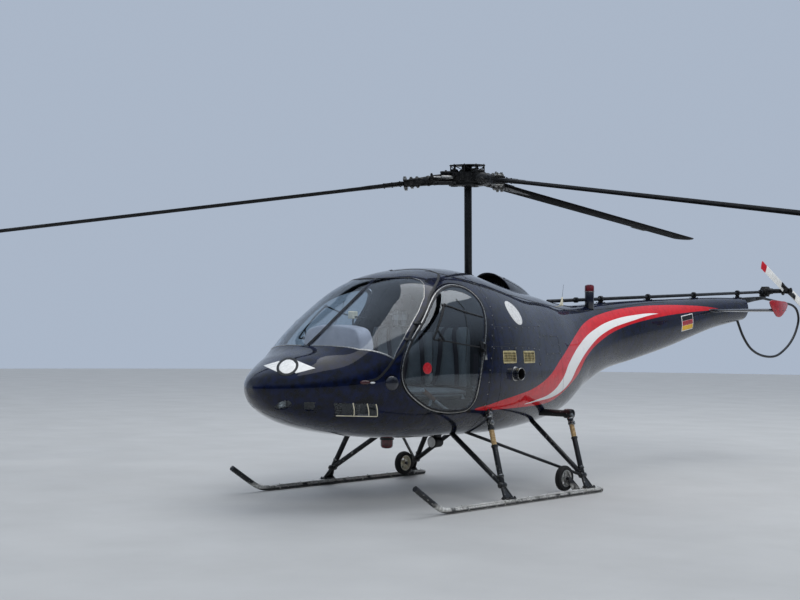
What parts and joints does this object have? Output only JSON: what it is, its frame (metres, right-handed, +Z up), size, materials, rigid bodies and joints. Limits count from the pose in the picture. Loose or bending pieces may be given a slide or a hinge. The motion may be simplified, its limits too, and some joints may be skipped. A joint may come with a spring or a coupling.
{
  "type": "light piston helicopter",
  "caption": "Light cabin helicopter parked on skids, with drooping main rotor blades, glazed front-hinged doors, a hoop tail guard and ground handling wheels.",
  "frame": {"origin": "on the ground under the middle of the part's bounding box; the rotor mast's foot is at x -0.3 m, y -1.7 m", "axes": "+X to the helicopter's left (port) side, +Y towards the tail, +Z up"},
  "size_m": [8.4371, 9.4491, 2.7913],
  "materials": {
    "navy_paint": "deep gloss, nearly black navy",
    "red_paint": "gloss red",
    "canopy_glass": "clear acrylic, lightly tinted",
    "gear_black": "satin black, worn at edges",
    "grille_metal": "brushed grey slats",
    "dark_metal": "dark oiled steel",
    "blade_black": "matt black",
    "blade_white": "satin white with red tips",
    "seat_fabric": "woven grey cloth",
    "trim_grey": "textured dark grey",
    "tyre_rubber": "black rubber",
    "rim_metal": "cast silver",
    "lamp_maroon": "dark red lens",
    "engine_metal": "cast grey metal"
  },
  "bodies": {
    "airframe": {"cabin_shell": "navy_paint", "windshield_left": "canopy_glass", "chin_window_left": "canopy_glass", "windshield_right": "canopy_glass", "chin_window_right": "canopy_glass", "cabin_floor": "trim_grey", "seat_box": "trim_grey", "seat_cushion": "seat_fabric", "seat_back": "seat_fabric", "console": "trim_grey", "pedals": "gear_black", "cyclic_left": "gear_black", "cyclic_right": "gear_black", "collective": "gear_black", "engine_bay": "navy_paint", "vents_left": "grille_metal", "vents_right": "grille_metal", "engine_block": "engine_metal", "exhaust_stub": "dark_metal", "intake_hood": "navy_paint", "tail_boom": "navy_paint", "stabiliser_left": "navy_paint", "tip_fin_left": "red_paint", "stabiliser_right": "navy_paint", "tip_fin_right": "red_paint", "tail_guard": "gear_black", "tail_gearbox": "gear_black", "skid_left": "gear_black", "skid_right": "gear_black", "front_leg_left": "gear_black", "rear_leg_left": "gear_black", "front_leg_right": "gear_black", "rear_leg_right": "gear_black", "cross_tube": "gear_black", "belly_beacon": "lamp_maroon", "landing_light": "dark_metal", "upper_beacon": "lamp_maroon", "antenna_fin": "blade_white"},
    "left_door": {"door_left": "navy_paint", "door_glass_left": "canopy_glass"},
    "right_door": {"door_right": "navy_paint", "door_glass_right": "canopy_glass"},
    "main_rotor": {"mast": "gear_black", "rotor_hub": "dark_metal", "rotor_grip_1": "dark_metal", "rotor_blade_1": "blade_black", "rotor_grip_2": "dark_metal", "rotor_blade_2": "blade_black", "rotor_grip_3": "dark_metal", "rotor_blade_3": "blade_black"},
    "driveshaft": {"tail_driveshaft": "gear_black"},
    "tail_rotor": {"tail_rotor_hub": "dark_metal", "tail_rotor_blade_1": "blade_white", "tail_rotor_blade_2": "blade_white"},
    "left_wheel": {"wheel_tyre_left": "tyre_rubber", "wheel_rim_left": "rim_metal"},
    "right_wheel": {"wheel_tyre_right": "tyre_rubber", "wheel_rim_right": "rim_metal"}
  },
  "joints": [
    {"name": "door_left_hinge", "type": "hinge", "parent": "airframe", "child": "left_door", "pos_m": [0.37321, -3.14721, 1.33455], "axis": [0.097, -0.6901, -0.7171], "range_deg": [0, 70]},
    {"name": "door_right_hinge", "type": "hinge", "parent": "airframe", "child": "right_door", "pos_m": [-0.97321, -3.14721, 1.33455], "axis": [0.097, 0.6901, 0.7171], "range_deg": [0, 70]},
    {"name": "main_rotor_spin", "type": "hinge", "parent": "airframe", "child": "main_rotor", "pos_m": [-0.3, -1.7, 2.678], "axis": [0.0324, -0.0575, 0.9978], "continuous": true},
    {"name": "driveshaft_spin", "type": "hinge", "parent": "airframe", "child": "driveshaft", "pos_m": [-0.3, -0.026, 1.654], "axis": [0, 0.9987, 0.0511], "continuous": true},
    {"name": "tail_rotor_spin", "type": "hinge", "parent": "airframe", "child": "tail_rotor", "pos_m": [-0.03, 3.85, 1.857], "axis": [1, 0, 0], "continuous": true},
    {"name": "wheel_left_spin", "type": "hinge", "parent": "airframe", "child": "left_wheel", "pos_m": [0.589, -1.505, 0.136], "axis": [1, 0, 0], "continuous": true},
    {"name": "wheel_right_spin", "type": "hinge", "parent": "airframe", "child": "right_wheel", "pos_m": [-1.189, -1.505, 0.136], "axis": [1, 0, 0], "continuous": true}
  ],
  "couplings": [
    {"joint": "driveshaft_spin", "follows": "main_rotor_spin", "ratio": 7},
    {"joint": "tail_rotor_spin", "follows": "main_rotor_spin", "ratio": 7}
  ]
}
